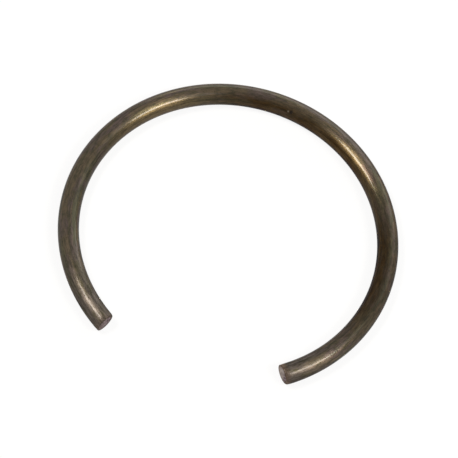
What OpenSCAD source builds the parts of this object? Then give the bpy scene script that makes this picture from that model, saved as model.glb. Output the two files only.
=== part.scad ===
// Round-wire retaining ring: one length of spring wire, coiled to an open circle
// and sheared off at both ends. Sizes are in millimetres. The ring lies in the XY
// plane about the Z axis, with its free shape drawn, and its gap faces -Y.

/* [Wire] */
// Diameter of the round wire
wire_d = 2; // [1.2:0.1:3]

/* [Ring] */
// Outside diameter of the free ring
outer_d = 32.1; // [26:0.1:60]
// Straight distance between the middles of the two cut ends
end_gap = 17.2; // [10:0.2:20]

/* [Cut ends] */
// Angle by which the shear leaves each cut face out of square
cut_skew = 4; // [0:0.5:10]
// Radius of the edge that the shear blade rolls over
roll_radius = 0.45; // [0.4:0.05:0.7]
// How far the rolled edge reaches into the cut face, on the blade's side
roll_reach = 0.24; // [0.06:0.02:0.28]
// How far the edge break reaches into the cut face, on the far side
edge_break = 0.1; // [0.02:0.02:0.14]

/* [Hidden] */
$fn = 72;

wire_r = wire_d / 2;
coil_r = (outer_d - wire_d) / 2;
half_gap_angle = asin(end_gap / 2 / coil_r);
gap_middle = 270;

// Wire beyond each cut that the shear takes off, and the room about the wire there
crop = wire_d / 2;
clear = wire_d;
crop_angle = crop / coil_r * 180 / PI;

// The flat of the cut face sits off the wire's middle, towards the far side, so
// that the round edge about it takes more off the blade's side.
flat_r = wire_r - (roll_reach + edge_break) / 2;
flat_shift = (roll_reach - edge_break) / 2;

module wire_arc() {
    arc_start = gap_middle + half_gap_angle - crop_angle;
    arc_end = gap_middle - half_gap_angle + crop_angle + 360;
    rotate_extrude(angle = arc_end - arc_start, start = arc_start)
        translate([coil_r, 0])
            circle(wire_r);
}

// The form that a sheared end keeps, about the Z axis: flat at z = 0, with a round
// edge that widens over one radius until it is well clear of the wire.
module kept_form() {
    rotate_extrude() {
        square([flat_r, 2 * roll_radius]);
        translate([flat_r, roll_radius])
            intersection() {
                circle(roll_radius);
                translate([0, -roll_radius])
                    square(roll_radius);
            }
        translate([0, roll_radius])
            square([flat_r + roll_radius, roll_radius]);
    }
}

// What one stroke of the shear takes off. The wire runs along Y, is kept below
// y = 0, and the blade comes from -X.
module shear_stroke() {
    width = 2 * (flat_r + roll_radius + clear);
    rotate([0, 0, cut_skew])
        difference() {
            translate([-width / 2, -roll_radius, -width / 2])
                cube([width, roll_radius + crop + clear, width]);
            translate([flat_shift, 0, 0])
                rotate([90, 0, 0])
                    kept_form();
        }
}

// The same stroke cuts both ends, so the second is the first turned end for end.
module retaining_ring() {
    color([0.28, 0.24, 0.19])
        difference() {
            wire_arc();
            for (side = [-1, 1])
                rotate([0, 0, gap_middle + side * half_gap_angle])
                    translate([coil_r, 0, 0])
                        rotate([0, 0, side < 0 ? 0 : 180])
                            shear_stroke();
        }
}

retaining_ring();
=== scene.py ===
"""Looks of a round-wire retaining ring: oil-tempered spring wire, sheared off at both ends.

The ring lies on a white table, with its gap towards the viewer.
"""
import math
import random

import bmesh
import bpy
from mathutils import Matrix, Vector, noise


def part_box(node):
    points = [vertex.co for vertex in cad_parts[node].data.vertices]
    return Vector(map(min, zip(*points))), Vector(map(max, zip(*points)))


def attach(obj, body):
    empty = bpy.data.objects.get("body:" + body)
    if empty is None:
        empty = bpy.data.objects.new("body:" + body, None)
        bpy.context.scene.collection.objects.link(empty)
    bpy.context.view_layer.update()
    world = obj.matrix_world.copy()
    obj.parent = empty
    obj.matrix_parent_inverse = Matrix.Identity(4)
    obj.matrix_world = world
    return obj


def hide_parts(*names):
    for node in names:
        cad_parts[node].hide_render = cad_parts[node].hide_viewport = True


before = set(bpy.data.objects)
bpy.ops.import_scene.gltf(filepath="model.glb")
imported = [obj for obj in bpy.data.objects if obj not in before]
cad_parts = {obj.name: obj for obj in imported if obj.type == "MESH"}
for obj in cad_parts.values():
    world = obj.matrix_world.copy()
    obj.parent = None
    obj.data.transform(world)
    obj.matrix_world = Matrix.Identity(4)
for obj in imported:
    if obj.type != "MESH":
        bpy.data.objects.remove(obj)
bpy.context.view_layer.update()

# The ring is modelled in millimetres and brought to metres at the end.
MM = 0.001
ring_low, ring_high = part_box("retaining_ring")

# Ring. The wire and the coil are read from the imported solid's box.
WIRE_R = ring_high.z / MM
COIL_R = ring_high.x / MM - WIRE_R
END_GAP = 17.2
GAP_MIDDLE = math.radians(270)
HALF_GAP = math.asin(END_GAP / 2 / COIL_R)
WIRE_TURN = 2 * (math.pi - HALF_GAP)

# Sheared ends, both of the form that one stroke of the shear leaves. The shear shapes what lies within
# END_ZONE of the cut along the wire and END_REACH of the middle of the wire.
LEFT, RIGHT = -1, 1
CUT_SKEW = math.radians(4)
ROLL_RADIUS = 0.45
ROLL_REACH = 0.24
EDGE_BREAK = 0.1
FLAT_R = WIRE_R - (ROLL_REACH + EDGE_BREAK) / 2
FLAT_SHIFT = (ROLL_REACH - EDGE_BREAK) / 2
END_ZONE = 1.6
END_REACH = 1.5 * WIRE_R
RIM_ROUND = 0.04

# The shear draws the last stretch of the wire in a little, and the flat of the cut with it.
DRAW_IN = 0.03
DRAW_ZONE = 0.6
FLAT_EDGE = FLAT_R * (1 - DRAW_IN)

# Torn relief of the cuts. Its pattern has a scale, a way by which the two cuts lie apart in it, and the
# roughness, lacunarity and octaves of its fractal. It fades over a width at the edge of the flat.
TEAR_DEPTH = 0.012
TEAR_SCALE = 5
TEAR_APART = 9
TEAR_FRACTAL = (0.8, 2, 4)
TEAR_FADE = 0.15

# The pit in the right cut, in that end's frame, with the width of the painted shade in it
CUT_PIT = Vector((-0.4, 0, 0.01))
PIT_DEPTH = 0.1
PIT_WIDTH = 0.1
PIT_SHADE = 0.13

# The one clear nick, the width of the painted shade in it, and its scraped lip. Each place is two angles:
# along the ring from the middle of the gap, by way of the right side, and round the wire from outside over
# the top.
NICK = (math.radians(170.9), math.radians(133))
NICK_WIDTH = 0.14
NICK_DEPTH = 0.06
NICK_SHADE = 0.17
NICK_LIP = (math.radians(172.0), math.radians(135))
LIP_WIDTH = 0.12

# Shallow handling marks, laid by chance over this share of the wire's length. Each one is followed out to
# so many times its width.
MARK_COUNT = 26
MARK_SEED = 5
MARK_SPAN = (0.06, 0.94)
MARK_WIDTH = (0.08, 0.2)
MARK_DEPTH = (0.004, 0.014)
MARK_REACH = 2.5

# Mesh density. Three rings of each cap lie outside the flat of the cut and the rest inside it.
SECTION_STEPS = 96
STRETCHES = 14
STRETCH_STEPS = 60
ROLL_RINGS = 3
FLAT_RINGS = 9
WELD = 0.001

WIRE_FACE, CUT_FACE = 0, 1

# Brown, bronze tint with painted shade, and painted golden sheen: the angles along the ring, in degrees,
# between which each one rises and then fades
BROWN_RIGHT = (50, 88, 112, 165)
BROWN_DEPTH = 0.7
BRONZE_SHADE_RIGHT = (52, 82, 103, 130)
BRONZE_SHADE_TOP = (112, 140, 183, 215)
SHEEN_RIGHT = (112, 135, 150, 175)
SHEEN_LEFT = (195, 215, 235, 262)

# Angles round the wire, in degrees from outside, between which the painted golden sheen and the bronze tint
# with its painted shade rise and fade. Both keep to the inside, and the edge at which the bronze begins to
# rise changes along the ring.
SHEEN_INSIDE = (95, 135, 210, 260)
BRONZE_SHADE_RISE = 52
BRONZE_SHADE_FADE = (200, 260)

# Shades at the cuts, with the places in an end's frame between which each one rises: inward from the rim,
# across from torn steel to smooth, and along the wire up to the cut. The left end has less of the last two.
INSIDE_RIM = (-0.02, 0.12)
TORN_TO_SMOOTH = (-0.45, 0.1)
BROWNED_END = (-0.6, -0.1)
LEFT_SHARE = 0.3

# Worn ends, in wire radii along the wire: where wear fades out from the right end, and sets in at the left
WORN_RIGHT = (10.0, 15.0)
WORN_LEFT = (76.5, 82.5)

# Depth in metres that the patterns of the materials give to their relief
RELIEF = 0.00002

# Table and room. The table shows mostly plain white, and is otherwise matt and takes the ring's shadow.
TABLE_REACH = 3
TABLE_WHITE = 0.88
ROOM_COLOUR = (0.8, 0.8, 0.8, 1)
ROOM_LIGHT = 0.2

# Camera: the photograph's frame, with the ring's centre placed by its pixel
FRAME_PX = 458
PX_PER_MM = 10.68
RING_CENTRE_PX = (228.29, 236.60)
CAMERA_AZIMUTH = math.radians(272.6)
CAMERA_ELEVATION = math.radians(62.2)
CAMERA_ROLL = math.radians(14)
CAMERA_DISTANCE = 1.0
CAMERA_CLIP = (0.01, 10)
SENSOR_MM = 36


def end_frame(side):
    """Frame of one cut end: X across the wire, Y out of the cut and Z up. The right one is turned round."""
    angle = GAP_MIDDLE + side * HALF_GAP
    turn = Matrix.Rotation(angle, 4, "Z") @ Matrix.Translation((COIL_R, 0, 0))
    return turn if side == LEFT else turn @ Matrix.Rotation(math.pi, 4, "Z")


def at_end(point):
    """Whether a point in an end's own frame belongs to the stretch that the shear shapes."""
    return math.hypot(point.x, point.z) < END_REACH and -END_ZONE < point.y < WIRE_R


def on_wire(along, around):
    """Point of the wire's surface, with both angles as the wire's maps count them."""
    rho = COIL_R + WIRE_R * math.cos(around)
    turn = GAP_MIDDLE + along
    return Vector((rho * math.cos(turn), rho * math.sin(turn), WIRE_R * math.sin(around)))


def bell(distance, width):
    """Bell curve about a mark: 1 in its middle, and close to 0 at twice its width."""
    away = distance / width
    return math.exp(-away * away)


def ease(value, low, high):
    """Smooth step from 0 at low to 1 at high."""
    share = min(max((value - low) / (high - low), 0), 1)
    return share * share * (3 - 2 * share)


def band(value, low, full, fading, gone):
    """Smooth rise from 0 at low to 1 at full, and fall from 1 at fading to 0 at gone."""
    return ease(value, low, full) * (1 - ease(value, fading, gone))


def coil_wire(bm):
    """Spins the wire's round section along the open circle and closes both ends. Returns the ends' rims."""
    start = Matrix.Rotation(GAP_MIDDLE + HALF_GAP, 4, "Z") @ Matrix.Translation((COIL_R, 0, 0))
    section = start @ Matrix.Rotation(math.pi / 2, 4, "X")
    bmesh.ops.create_circle(bm, cap_ends=False, segments=SECTION_STEPS, radius=WIRE_R, matrix=section)
    stretch = WIRE_TURN / STRETCHES
    copies = STRETCHES - 1
    about = {"cent": (0, 0, 0), "axis": (0, 0, 1), "use_merge": False}
    rim = bm.verts[:] + bm.edges[:]
    bmesh.ops.spin(bm, geom=rim, angle=stretch, steps=STRETCH_STEPS, use_duplicate=False, **about)
    tube = bm.verts[:] + bm.edges[:] + bm.faces[:]
    bmesh.ops.spin(bm, geom=tube, angle=stretch * copies, steps=copies, use_duplicate=True, **about)
    bmesh.ops.remove_doubles(bm, verts=bm.verts, dist=WELD)
    rims = [e for e in bm.edges if e.is_boundary]
    close_ends(bm, rims)
    bmesh.ops.recalc_face_normals(bm, faces=bm.faces)
    return rims


def close_ends(bm, rims):
    """Caps both ends with rings of faces about a middle point, so that the shear can shape them."""
    caps = bmesh.ops.holes_fill(bm, edges=rims, sides=0)["faces"]
    roll_step = (WIRE_R - FLAT_R) / ROLL_RINGS
    flat_step = FLAT_R / (FLAT_RINGS + 1)
    for cap in caps:
        cap.material_index = CUT_FACE
        for step in [roll_step] * ROLL_RINGS + [flat_step] * FLAT_RINGS:
            bmesh.ops.inset_region(bm, faces=[cap], thickness=step, use_even_offset=True)
    bmesh.ops.poke(bm, faces=caps)


def roll_depth(across, up):
    """How far the rolled edge lies behind the flat of the cut, at a point of the section."""
    past_flat = math.hypot(across - FLAT_SHIFT, up) - FLAT_R
    if past_flat <= 0:
        return 0
    return ROLL_RADIUS - math.sqrt(max(ROLL_RADIUS**2 - past_flat**2, 0))


def tear_depth(point, radius, side):
    """How far the torn steel of a cut lies behind its smooth face, with the pit of the right one."""
    depth = PIT_DEPTH * bell((point - CUT_PIT).length, PIT_WIDTH) if side == RIGHT else 0
    if radius < FLAT_R:
        place = point * TEAR_SCALE + Vector((TEAR_APART * side, 0, 0))
        torn = 0.5 + 0.5 * noise.fractal(place, *TEAR_FRACTAL)
        depth += TEAR_DEPTH * torn * min((FLAT_R - radius) / TEAR_FADE, 1)
    return depth


def shear_end(bm, side):
    """Slides the vertices near one end along the wire, into the skewed, rolled and torn face of a cut."""
    place = end_frame(side)
    back = place.inverted()
    cut_verts = {v for f in bm.faces if f.material_index == CUT_FACE for v in f.verts}
    for v in bm.verts:
        p = back @ v.co
        if not at_end(p):
            continue
        drawn = 1 - DRAW_IN * max(1 + p.y / DRAW_ZONE, 0) ** 2
        p.x, p.z = p.x * drawn, p.z * drawn
        radius = math.hypot(p.x, p.z)
        if v in cut_verts:
            p.x += FLAT_SHIFT * min((WIRE_R - radius) / (WIRE_R - FLAT_R), 1)
        slide = p.x * math.tan(CUT_SKEW) - roll_depth(p.x, p.z)
        if v in cut_verts:
            slide -= tear_depth(p, radius, side)
        p.y += slide * min(1 + p.y / END_ZONE, 1)
        v.co = place @ p
    for f in bm.faces:
        p = back @ f.calc_center_median()
        if f.material_index == CUT_FACE and at_end(p) and math.hypot(p.x - FLAT_SHIFT, p.z) > FLAT_EDGE:
            f.material_index = WIRE_FACE


def round_rims(bm, rims):
    """Takes the sharpness off the line where each end meets the side of the wire."""
    bmesh.ops.bevel(
        bm,
        geom=rims,
        offset=RIM_ROUND,
        offset_type="ABSOLUTE",
        segments=3,
        profile=0.5,
        affect="EDGES",
        clamp_overlap=True,
        material=-1,
    )


def mark_surface(bm):
    """Presses the sharp nick on top and a few shallow handling marks into the wire."""
    draw = random.Random(MARK_SEED)
    marks = [(on_wire(*NICK), NICK_WIDTH, NICK_DEPTH)]
    for _ in range(MARK_COUNT):
        along = HALF_GAP + draw.uniform(*MARK_SPAN) * WIRE_TURN
        spot = on_wire(along, draw.uniform(0, math.tau))
        marks.append((spot, draw.uniform(*MARK_WIDTH), draw.uniform(*MARK_DEPTH)))
    bm.normal_update()
    for v in bm.verts:
        pressed = 0
        for spot, width, depth in marks:
            distance = (v.co - spot).length
            if distance < MARK_REACH * width:
                pressed += depth * bell(distance, width)
        v.co -= v.normal * pressed


def brown_shade_and_sheen(along, around):
    """Depths of three colours at a point of the wire: brown, bronze tint with painted shade, and painted
    sheen.

    Brown lies on the right. The bronze tint, which also paints shade, runs along the inside from there over
    the top.
    A painted golden sheen lies along the inside at the upper right and the left, where the glow of the
    highlights falls.
    """
    turn = math.degrees(along)
    inwards = math.degrees(around) % 360
    brown = BROWN_DEPTH * band(turn, *BROWN_RIGHT)
    # The bronze begins 52 degrees from outside on the right, 95 at the upper right, and 83 after that.
    edge = 52 + 43 * ease(turn, 95, 140) - 12 * ease(turn, 152, 168)
    bronze_and_shade = band(turn, *BRONZE_SHADE_RIGHT) + band(turn, *BRONZE_SHADE_TOP)
    bronze_and_shade *= band(inwards, edge, edge + BRONZE_SHADE_RISE, *BRONZE_SHADE_FADE)
    golden_sheen = max(band(turn, *SHEEN_RIGHT), band(turn, *SHEEN_LEFT))
    golden_sheen *= band(inwards, *SHEEN_INSIDE)
    return brown, bronze_and_shade, golden_sheen


def cut_shades(point, side):
    """Shares at a point in an end's frame: inside the rim, smooth steel, and brown on the wire."""
    if not at_end(point):
        return 0, 0, 0
    inside = FLAT_EDGE - math.hypot(point.x - FLAT_SHIFT, point.z)
    smooth = ease(point.x, *TORN_TO_SMOOTH)
    browned = ease(point.y, *BROWNED_END)
    share = LEFT_SHARE if side == LEFT else 1
    return ease(inside, *INSIDE_RIM), share * smooth, share * browned


def mark_strength(point):
    """How far a point is scraped bright, up to 1 at the nick's lip, or painted in shade, down to -1 in nick
    and pit.
    """
    scraped = bell((point - on_wire(*NICK_LIP)).length, LIP_WIDTH)
    shaded = bell((point - on_wire(*NICK)).length, NICK_SHADE)
    in_end = end_frame(RIGHT).inverted() @ point
    if at_end(in_end):
        shaded += bell(math.hypot(in_end.x - CUT_PIT.x, in_end.z - CUT_PIT.z), PIT_SHADE)
    return scraped - shaded


def lay_wire_maps(mesh):
    """Adds what the materials read: places and shades of the wire, and a UV map that runs with it."""
    names = ("wire_line", "brown_shade_sheen", "cut_shades", "marks")
    for name in names:
        mesh.attributes.new(name, "FLOAT" if name == "marks" else "FLOAT_VECTOR", "POINT")
    mesh.uv_layers.new(name="wire_uv")
    # They are looked up only now, because a new layer moves the ones before it.
    line, brown_shade_sheen, cuts, marks = (mesh.attributes[name].data for name in names)
    uv = mesh.uv_layers["wire_uv"].data
    ends = [(end_frame(side).inverted(), side) for side in (LEFT, RIGHT)]
    turns = []
    for v in mesh.vertices:
        p = v.co / MM
        along = (math.atan2(p.y, p.x) - GAP_MIDDLE) % math.tau
        around = math.atan2(p.z, math.hypot(p.x, p.y) - COIL_R)
        turns.append((along, around))
        line[v.index].vector = (math.cos(around), math.sin(around), along * COIL_R / WIRE_R)
        brown_shade_sheen[v.index].vector = brown_shade_and_sheen(along, around)
        marks[v.index].value = mark_strength(p)
        cuts[v.index].vector = max(cut_shades(end @ p, side) for end, side in ends)
    for face in mesh.polygons:
        first = turns[mesh.loops[face.loop_start].vertex_index][1]
        for corner in face.loop_indices:
            along, around = turns[mesh.loops[corner].vertex_index]
            # A face across the seam inside the wire keeps its corners together.
            around += math.tau * round((first - around) / math.tau)
            uv[corner].uv = (along / math.tau, 0.5 + around / math.tau * WIRE_R / COIL_R)


def make_ring():
    """The whole ring as one closed mesh, with its maps laid on."""
    bm = bmesh.new()
    rims = coil_wire(bm)
    for side in (LEFT, RIGHT):
        shear_end(bm, side)
    round_rims(bm, rims)
    mark_surface(bm)
    bmesh.ops.scale(bm, vec=(MM, MM, MM), verts=bm.verts)
    bmesh.ops.recalc_face_normals(bm, faces=bm.faces)
    for face in bm.faces:
        face.smooth = True
    mesh = bpy.data.meshes.new("retaining_ring_wire")
    bm.to_mesh(mesh)
    bm.free()
    lay_wire_maps(mesh)
    ring = bpy.data.objects.new("retaining_ring_wire", mesh)
    bpy.context.scene.collection.objects.link(ring)
    return ring


class Nodes:
    """The node tree of a material or a world, with short calls to add nodes and join them."""

    def __init__(self, owner):
        owner.use_nodes = True
        self.owner = owner
        self.tree = owner.node_tree
        self.tree.nodes.clear()

    def add(self, kind, values=None, **settings):
        """A new node. Each value sets an input, or joins it to the output that is given."""
        node = self.tree.nodes.new(kind)
        for name, value in settings.items():
            setattr(node, name, value)
        for name, value in (values or {}).items():
            if isinstance(value, bpy.types.NodeSocket):
                self.tree.links.new(value, node.inputs[name])
            else:
                node.inputs[name].default_value = value
        return node

    def mesh_map(self, name, output="Vector"):
        """Reads a map that is laid on the mesh."""
        return self.add("ShaderNodeAttribute", attribute_name=name).outputs[output]

    def parts(self, vector):
        return self.add("ShaderNodeSeparateXYZ", {"Vector": vector}).outputs

    def drawn_out(self, line, share):
        """The wire's line shortened to a share, so that a pattern on it is drawn out along the wire."""
        return self.add("ShaderNodeMapping", {"Vector": line, "Scale": (1, 1, share)}).outputs["Vector"]

    def noise(self, vector, scale, detail, roughness=0.55):
        values = {"Vector": vector, "Scale": scale, "Detail": detail, "Roughness": roughness}
        return self.add("ShaderNodeTexNoise", values).outputs["Fac"]

    def spread(self, value, low, high, to_low, to_high):
        """Turns the values from low to high into those from to_low to to_high, and goes no further."""
        values = {"Value": value, "From Min": low, "From Max": high, "To Min": to_low, "To Max": to_high}
        return self.add("ShaderNodeMapRange", values).outputs["Result"]

    def reckon(self, operation, *values):
        return self.add("ShaderNodeMath", dict(enumerate(values)), operation=operation).outputs["Value"]

    def blend(self, amount, one, other, how="MIX"):
        """Blends two colours. Their sockets go by number, because other types' sockets share the names."""
        values = {0: amount, 6: one, 7: other}
        return self.add("ShaderNodeMix", values, data_type="RGBA", blend_type=how).outputs[2]

    def shade(self, colour, amount):
        """Multiplies a colour by a grey amount."""
        grey = self.add("ShaderNodeCombineColor", {"Red": amount, "Green": amount, "Blue": amount})
        return self.blend(1.0, colour, grey.outputs["Color"], "MULTIPLY")

    def relief(self, height, strength, **over):
        """Shallow relief from a pattern, over the relief that is given as Normal."""
        values = {"Height": height, "Strength": strength, "Distance": RELIEF, **over}
        return self.add("ShaderNodeBump", values).outputs["Normal"]

    def seen(self):
        """1 where the camera looks, straight, by reflection or through glass, and 0 for light on things."""
        path = self.add("ShaderNodeLightPath").outputs
        seen = self.reckon("MAXIMUM", path["Is Camera Ray"], path["Is Glossy Ray"])
        return self.reckon("MAXIMUM", seen, path["Is Transmission Ray"])

    def output(self, shader, kind="ShaderNodeOutputMaterial"):
        self.add(kind, {"Surface": shader})
        return self.owner


def oxide_shade_and_sheen_colour(m, flecked, bands, flecks, brown_shade_sheen):
    """Brown oxide in streaks of umber, olive and plum, with brown, bronze tint with painted shade, and
    painted golden sheen over it.
    """
    umber = (0.079, 0.057, 0.032, 1)
    olive = (0.062, 0.055, 0.026, 1)
    plum = (0.071, 0.050, 0.043, 1)
    golden_sheen = (0.084, 0.060, 0.027, 1)
    red_brown = (0.051, 0.034, 0.022, 1)
    green_brown = (0.039, 0.038, 0.020, 1)
    bronze_and_shade = (0.034, 0.0165, 0.0020, 1)
    colour = m.blend(m.spread(bands, 0.44, 0.56, 0, 1), umber, olive)
    patches = m.noise(flecked, scale=1.3, detail=3)
    colour = m.blend(m.spread(patches, 0.48, 0.58, 0, 0.8), colour, plum)
    colour = m.blend(m.spread(flecks, 0.5, 0.62, 0, 0.7), colour, olive)
    # Painted golden sheen on the inside, where the glow of the upper highlights falls.
    colour = m.blend(brown_shade_sheen["Z"], colour, golden_sheen)
    clouds = m.noise(flecked, scale=3.4, detail=3, roughness=0.6)
    brown = m.blend(m.spread(clouds, 0.42, 0.58, 0, 1), red_brown, green_brown)
    # Mottling breaks up the brown and the bronze with its painted shade.
    mottle = m.noise(flecked, scale=2.6, detail=4, roughness=0.6)
    rubbed = m.spread(mottle, 0.38, 0.62, 1.0, 0.62)
    colour = m.blend(m.reckon("MULTIPLY", brown_shade_sheen["X"], rubbed), colour, brown)
    # Bronze tint, dark enough to paint shade along the inside of the ring.
    return m.blend(m.reckon("MULTIPLY", brown_shade_sheen["Y"], rubbed), colour, bronze_and_shade)


def worn_colour(m, flecked):
    """Where the wire has been held: oxide rubbed paler, with smudges left on it."""
    rubbed = (0.063, 0.052, 0.043, 1)
    smudge = (0.030, 0.027, 0.012, 1)
    smudges = m.noise(flecked, scale=3.0, detail=4, roughness=0.65)
    return m.blend(m.spread(smudges, 0.50, 0.60, 0, 0.7), rubbed, smudge)


def oil_tempered_wire():
    """Drawn spring wire under brown oxide and oil: satin, with its sheen spread round the wire."""
    end_brown = (0.135, 0.094, 0.068, 1)
    dirt_and_shade = (0.010, 0.007, 0.005, 1)
    scraped_steel = (0.16, 0.13, 0.10, 1)
    m = Nodes(bpy.data.materials.new("oil_tempered_wire"))
    line = m.mesh_map("wire_line")
    brown_shade_sheen = m.parts(m.mesh_map("brown_shade_sheen"))
    place = m.add("ShaderNodeTexCoord").outputs["Object"]
    streaked = m.drawn_out(line, 0.03)
    flecked = m.drawn_out(line, 0.25)

    bands = m.noise(streaked, scale=2.4, detail=3)
    lines = m.noise(streaked, scale=10, detail=3)
    flecks = m.noise(flecked, scale=5, detail=4, roughness=0.65)
    specks = m.noise(place, scale=8000, detail=1)
    along = m.parts(line)["Z"]
    held = m.reckon("MAXIMUM", m.spread(along, *WORN_RIGHT, 1, 0), m.spread(along, *WORN_LEFT, 0, 1))
    near_cut = m.parts(m.mesh_map("cut_shades"))["Z"]
    marks = m.mesh_map("marks", "Fac")

    colour = oxide_shade_and_sheen_colour(m, flecked, bands, flecks, brown_shade_sheen)
    colour = m.blend(held, colour, worn_colour(m, flecked))
    colour = m.blend(m.spread(near_cut, 0, 1, 0, 0.8), colour, end_brown)
    colour = m.shade(colour, m.spread(bands, 0.4, 0.6, 1.12, 0.86))
    colour = m.shade(colour, m.spread(flecks, 0.36, 0.64, 1.34, 0.66))
    colour = m.shade(colour, m.spread(lines, 0.35, 0.65, 0.87, 1.13))
    colour = m.blend(m.spread(specks, 0.6, 0.72, 0, 0.5), colour, dirt_and_shade)
    # Painted shade darkens the nick. The specks above are dirt.
    colour = m.blend(m.spread(marks, -0.1, -0.5, 0, 0.85), colour, dirt_and_shade)
    colour = m.blend(m.spread(marks, 0.3, 0.7, 0, 0.9), colour, scraped_steel)

    # The oil is thinner on the brown and on the bronze with its painted shade, and where the wire has been
    # held.
    film = m.spread(m.reckon("MAXIMUM", brown_shade_sheen["X"], brown_shade_sheen["Y"]), 0, 1, 0.46, 0.22)
    film = m.reckon("MULTIPLY_ADD", held, -0.27, film)
    satin = m.spread(lines, 0.35, 0.65, 0.25, 0.36)
    satin = m.reckon("MULTIPLY_ADD", held, 0.07, satin)
    relief = m.relief(lines, 0.07)
    relief = m.relief(m.noise(place, scale=2600, detail=3), 0.07, Normal=relief)
    tangent = m.add("ShaderNodeTangent", direction_type="UV_MAP", uv_map="wire_uv").outputs["Tangent"]
    steel = m.add(
        "ShaderNodeBsdfPrincipled",
        {
            "Base Color": colour,
            "Metallic": 1.0,
            "Specular Tint": (0.3, 0.27, 0.24, 1),
            "Roughness": satin,
            "Anisotropic": 0.9,
            "Anisotropic Rotation": 0.25,
            "Tangent": tangent,
            "Coat Weight": film,
            "Coat Roughness": 0.13,
            "Coat IOR": 1.5,
            "Normal": relief,
        },
    )
    return m.output(steel.outputs["BSDF"])


def sheared_steel():
    """The face that the shear leaves: grainy grey steel, torn dark on one side and browned at its rim."""
    dull_steel, bright_steel = (0.27, 0.235, 0.215, 1), (0.47, 0.415, 0.39, 1)
    torn_dark, torn_bright = (0.025, 0.018, 0.021, 1), (0.36, 0.29, 0.31, 1)
    brown_tint = (0.14, 0.10, 0.09, 1)
    rim_brown = (0.17, 0.125, 0.098, 1)
    dirt_and_shade = (0.012, 0.008, 0.007, 1)
    m = Nodes(bpy.data.materials.new("sheared_steel"))
    share = m.parts(m.mesh_map("cut_shades"))
    marks = m.mesh_map("marks", "Fac")
    place = m.add("ShaderNodeTexCoord").outputs["Object"]
    grain = m.noise(place, scale=4200, detail=4, roughness=0.65)
    tears = m.noise(place, scale=4400, detail=4, roughness=0.6)
    tint = m.noise(place, scale=1500, detail=2)

    smooth = m.blend(m.spread(grain, 0.35, 0.65, 0, 1), dull_steel, bright_steel)
    torn = m.blend(m.spread(tears, 0.42, 0.58, 0, 1), torn_dark, torn_bright)
    colour = m.blend(share["Y"], torn, smooth)
    colour = m.blend(m.spread(tint, 0.45, 0.7, 0, 0.4), colour, brown_tint)
    colour = m.blend(share["X"], rim_brown, colour)
    # Painted shade darkens the pit.
    colour = m.blend(m.spread(marks, -0.2, -0.6, 0, 0.95), colour, dirt_and_shade)
    steel = m.add(
        "ShaderNodeBsdfPrincipled",
        {
            "Base Color": colour,
            "Metallic": 0.9,
            "Specular Tint": (0.35, 0.3, 0.28, 1),
            "Roughness": m.spread(grain, 0.3, 0.7, 0.6, 0.48),
            "Normal": m.relief(grain, 0.5),
        },
    )
    return m.output(steel.outputs["BSDF"])


def table_top():
    """White table that shows plain white, keeps the ring's soft shadow, and is clear from below."""
    m = Nodes(bpy.data.materials.new("white_table"))
    white = m.add("ShaderNodeEmission", {"Color": (1, 1, 1, 1), "Strength": 1.0}).outputs["Emission"]
    matt = m.add("ShaderNodeBsdfDiffuse", {"Color": (0.9, 0.9, 0.9, 1)}).outputs["BSDF"]
    clear = m.add("ShaderNodeBsdfTransparent").outputs["BSDF"]
    share = m.reckon("MULTIPLY", m.seen(), TABLE_WHITE)
    top = m.add("ShaderNodeMixShader", {0: share, 1: matt, 2: white}).outputs["Shader"]
    under = m.add("ShaderNodeNewGeometry").outputs["Backfacing"]
    return m.output(m.add("ShaderNodeMixShader", {0: under, 1: top, 2: clear}).outputs["Shader"])


def make_table():
    """The table under the ring, which is no part of it."""
    bm = bmesh.new()
    drop = Matrix.Translation((0, 0, ring_low.z))
    bmesh.ops.create_grid(bm, x_segments=1, y_segments=1, size=TABLE_REACH, matrix=drop)
    mesh = bpy.data.meshes.new("table")
    bm.to_mesh(mesh)
    bm.free()
    mesh.materials.append(table_top())
    table = bpy.data.objects.new("table", mesh)
    bpy.context.scene.collection.objects.link(table)


def pale_room():
    """World that lights the ring weakly from all round, and is pale where it is seen."""
    m = Nodes(bpy.data.worlds.new("white_room"))
    light, pale = (
        m.add("ShaderNodeBackground", {"Color": ROOM_COLOUR, "Strength": strength}).outputs["Background"]
        for strength in (ROOM_LIGHT, 1.0)
    )
    room = m.add("ShaderNodeMixShader", {0: m.seen(), 1: light, 2: pale})
    return m.output(room.outputs["Shader"], "ShaderNodeOutputWorld")


def aim(obj, back, roll=0.0):
    """Turns an object so that it looks along -back, with its picture turned by roll."""
    sight = back.to_track_quat("Z", "Y").to_matrix().to_4x4() @ Matrix.Rotation(roll, 4, "Z")
    obj.matrix_world = Matrix.Translation(obj.location) @ sight


def add_softbox(name, direction, distance, size, watts, colour, turn=0.0):
    """Oval lamp that shines on the ring. Its distance and size are in metres and its turn in degrees."""
    lamp = bpy.data.lights.new(name, "AREA")
    lamp.shape = "ELLIPSE"
    lamp.size, lamp.size_y = size
    lamp.energy = watts
    lamp.color = colour
    box = bpy.data.objects.new(name, lamp)
    bpy.context.scene.collection.objects.link(box)
    toward = Vector(direction).normalized()
    box.location = toward * distance
    aim(box, toward, math.radians(turn))


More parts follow.
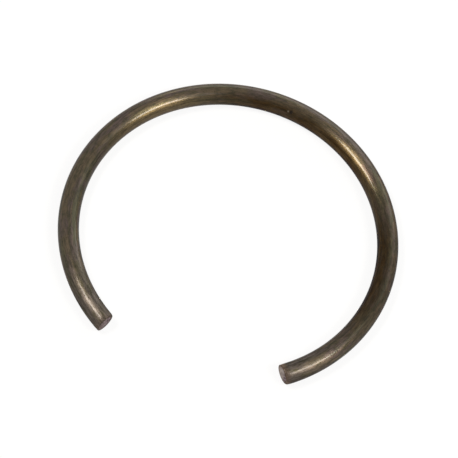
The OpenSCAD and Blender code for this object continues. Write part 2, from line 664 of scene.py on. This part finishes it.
def light_studio():
    """Five soft boxes in a pale room.

    The two small warm ones, left and right, give the highlights. The large one stands low behind the ring,
    with a weaker one above it. The weakest, about the right one, softens the ends of its highlight.
    """
    warm = (1.0, 0.945, 0.86)
    white = (1.0, 1.0, 1.0)
    add_softbox("left_softbox", (-0.493, -0.082, 0.866), 0.6, (0.23, 0.15), 2.4, warm, turn=-30)
    add_softbox("right_softbox", (0.614, -0.211, 0.760), 0.6, (0.24, 0.15), 1.95, warm, turn=-22)
    add_softbox("back_softbox", (0.17, 0.955, 0.24), 0.9, (1.4, 0.5), 2.85, white)
    add_softbox("top_fill", (0.46, 0.68, 0.57), 0.9, (0.9, 0.6), 1.1, white)
    add_softbox("right_fill", (0.51, -0.10, 0.85), 0.7, (0.55, 0.5), 0.65, white)
    bpy.context.scene.world = pale_room()


def set_camera():
    """Camera that sees the ring as the photograph shows it."""
    data = bpy.data.cameras.new("camera")
    camera = bpy.data.objects.new("camera", data)
    bpy.context.scene.collection.objects.link(camera)
    data.sensor_width = SENSOR_MM
    data.lens = SENSOR_MM * CAMERA_DISTANCE / (FRAME_PX / PX_PER_MM * MM)
    data.clip_start, data.clip_end = CAMERA_CLIP
    level = math.cos(CAMERA_ELEVATION)
    x, y = level * math.cos(CAMERA_AZIMUTH), level * math.sin(CAMERA_AZIMUTH)
    back = Vector((x, y, math.sin(CAMERA_ELEVATION)))
    aim(camera, back, CAMERA_ROLL)
    picture_x, picture_y = (camera.matrix_world.col[axis].to_3d() for axis in (0, 1))
    right = (FRAME_PX / 2 - RING_CENTRE_PX[0]) / PX_PER_MM * MM
    up = (RING_CENTRE_PX[1] - FRAME_PX / 2) / PX_PER_MM * MM
    camera.matrix_world.translation = back * CAMERA_DISTANCE + picture_x * right + picture_y * up
    bpy.context.scene.camera = camera


set_camera()
ring = make_ring()
ring.data.materials.append(oil_tempered_wire())
ring.data.materials.append(sheared_steel())
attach(ring, "root")
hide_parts("retaining_ring")
make_table()
light_studio()
bpy.context.scene.view_settings.view_transform = "Standard"
